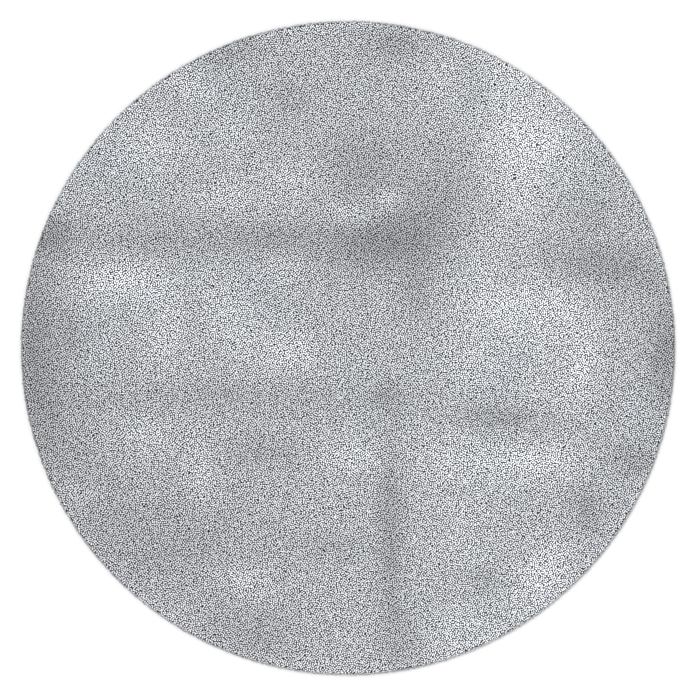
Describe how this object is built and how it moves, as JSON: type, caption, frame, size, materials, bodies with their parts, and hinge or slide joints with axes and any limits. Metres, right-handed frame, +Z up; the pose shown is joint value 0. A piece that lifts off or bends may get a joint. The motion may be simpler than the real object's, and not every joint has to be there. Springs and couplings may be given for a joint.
{
  "type": "round short pile rug",
  "caption": "Round short pile rug lying flat: dense cut pile on a thin woven ground, the pile reaching the rim all round.",
  "frame": {"origin": "middle of the rug's underside, on the floor", "axes": "+Z up out of the pile, along the axis of the round; +X and +Y lie in the rug, along and across the rows of yarn"},
  "size_m": [1.6, 1.6, 0.014],
  "materials": {
    "pile_yarn": "cut pile of soft polyester yarn, pale grey, matt with a faint sheen, in cloudy lighter and darker patches where the pile is brushed different ways",
    "ground_cloth": "plain woven ground seen on the underside, stone grey, matt"
  },
  "bodies": {
    "root": {"rug": "pile_yarn"}
  },
  "joints": []
}
